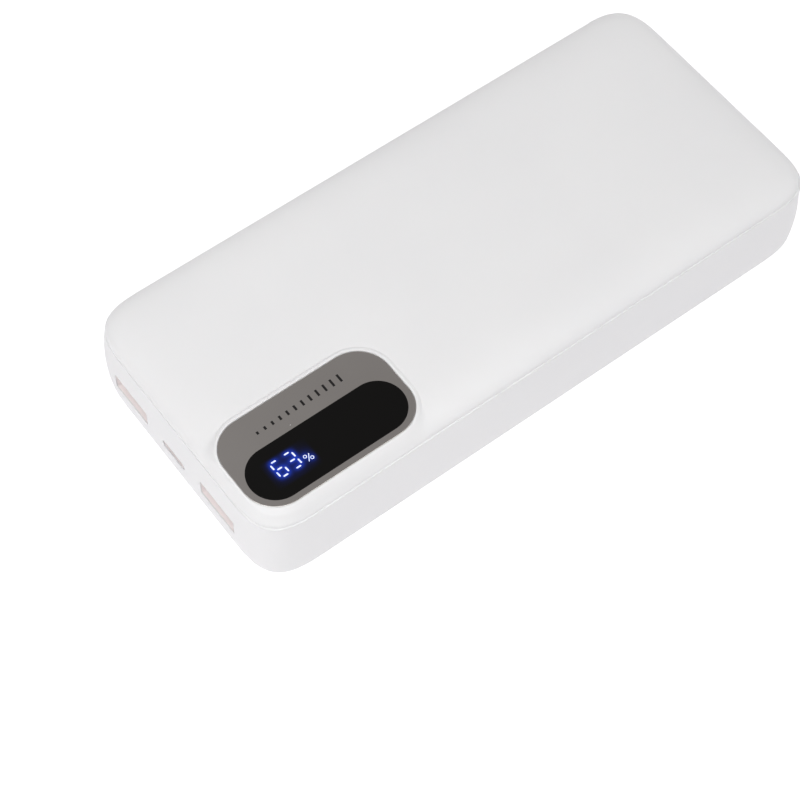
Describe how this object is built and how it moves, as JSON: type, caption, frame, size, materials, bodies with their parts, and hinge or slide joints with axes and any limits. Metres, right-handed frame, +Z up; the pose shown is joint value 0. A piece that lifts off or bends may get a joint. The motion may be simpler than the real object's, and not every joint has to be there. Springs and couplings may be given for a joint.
{
  "type": "power bank",
  "caption": "Slim rectangular white power bank with pillowed top edges, a flush grey display with lit digits in a raised collar, two USB-A ports and a USB-C port in one end, and a side button.",
  "frame": {"origin": "centre of the footprint on the resting face, so the whole object stands on z = 0", "axes": "+Z up out of the display face; +Y along the long axis, away from the ports; the ports face -Y; +X towards the long side the display sits next to"},
  "size_m": [0.0694, 0.153, 0.0239],
  "materials": {
    "case_white": "white injection-moulded ABS and polycarbonate, satin to soft gloss, very fine even texture",
    "display_mirror": "back-printed acrylic: grey mirror strip round a near-black smoked pill-shaped window, glossy and flush",
    "white_moulding": "white nylon insulator, satin",
    "black_moulding": "black moulded nylon, matt",
    "digit_light": "milky diffuser film lit from behind by cool-white segments with a blue glow",
    "black_foam": "closed-cell black foam, matt",
    "tape": "double-sided adhesive tape, milky",
    "circuit_board": "glass-fibre board under green solder mask, satin",
    "port_steel": "thin nickel-plated steel sheet, satin bright",
    "contact_gold": "gold-plated copper alloy, bright",
    "screw_steel": "zinc-plated steel",
    "nickel": "rolled nickel strip, satin",
    "cell_pouch": "aluminium-laminate pouch, satin with soft creases",
    "ferrite": "moulded ferrite, dark grey",
    "chip_resin": "black epoxy, matt",
    "capacitor_can": "bare aluminium can",
    "wire_red": "red silicone insulation",
    "wire_black": "black silicone insulation",
    "ribbon_film": "amber polyimide film"
  },
  "bodies": {
    "root": {"battery_cell_lower": "cell_pouch", "battery_cell_upper": "cell_pouch", "battery_wire_negative": "wire_black", "battery_wire_positive": "wire_red", "board_screw_left": "screw_steel", "board_screw_right": "screw_steel", "boost_inductor": "ferrite", "bottom_case": "case_white", "bus_strip_negative": "nickel", "bus_strip_positive": "nickel", "cell_foam_top": "black_foam", "cell_tape_bottom": "tape", "cell_tape_middle": "tape", "controller_ic": "chip_resin", "digit_diffuser": "digit_light", "digit_housing": "black_moulding", "display_board": "circuit_board", "display_gasket": "black_foam", "display_lens": "display_mirror", "display_ribbon": "ribbon_film", "display_screw_left": "screw_steel", "display_screw_right": "screw_steel", "input_capacitor": "capacitor_can", "lens_adhesive": "tape", "main_board": "circuit_board", "output_capacitor": "capacitor_can", "power_ic": "chip_resin", "protection_mosfet": "chip_resin", "ribbon_connector": "white_moulding", "switch_body": "black_moulding", "switch_dome": "nickel", "switch_plate": "port_steel", "tab_lower_negative": "nickel", "tab_lower_positive": "nickel", "tab_upper_negative": "nickel", "tab_upper_positive": "nickel", "top_cover": "case_white", "usb_a_contact_left_1": "contact_gold", "usb_a_contact_left_2": "contact_gold", "usb_a_contact_left_3": "contact_gold", "usb_a_contact_left_4": "contact_gold", "usb_a_contact_right_1": "contact_gold", "usb_a_contact_right_2": "contact_gold", "usb_a_contact_right_3": "contact_gold", "usb_a_contact_right_4": "contact_gold", "usb_a_shell_left": "port_steel", "usb_a_shell_right": "port_steel", "usb_a_tongue_left": "white_moulding", "usb_a_tongue_right": "white_moulding", "usb_c_shell": "port_steel", "usb_c_tongue": "black_moulding"},
    "button": {"button_cap": "case_white"},
    "switch_plunger": {"switch_stem": "black_moulding"}
  },
  "joints": [
    {"name": "button_press", "type": "slide", "parent": "root", "child": "button", "axis": [1, 0, 0], "range_m": [0, 0.00035], "stiffness_N_per_m": 2500},
    {"name": "switch_stem_press", "type": "slide", "parent": "root", "child": "switch_plunger", "axis": [1, 0, 0], "range_m": [0, 0.00035]}
  ],
  "couplings": [
    {"joint": "switch_stem_press", "follows": "button_press", "ratio": 1}
  ]
}
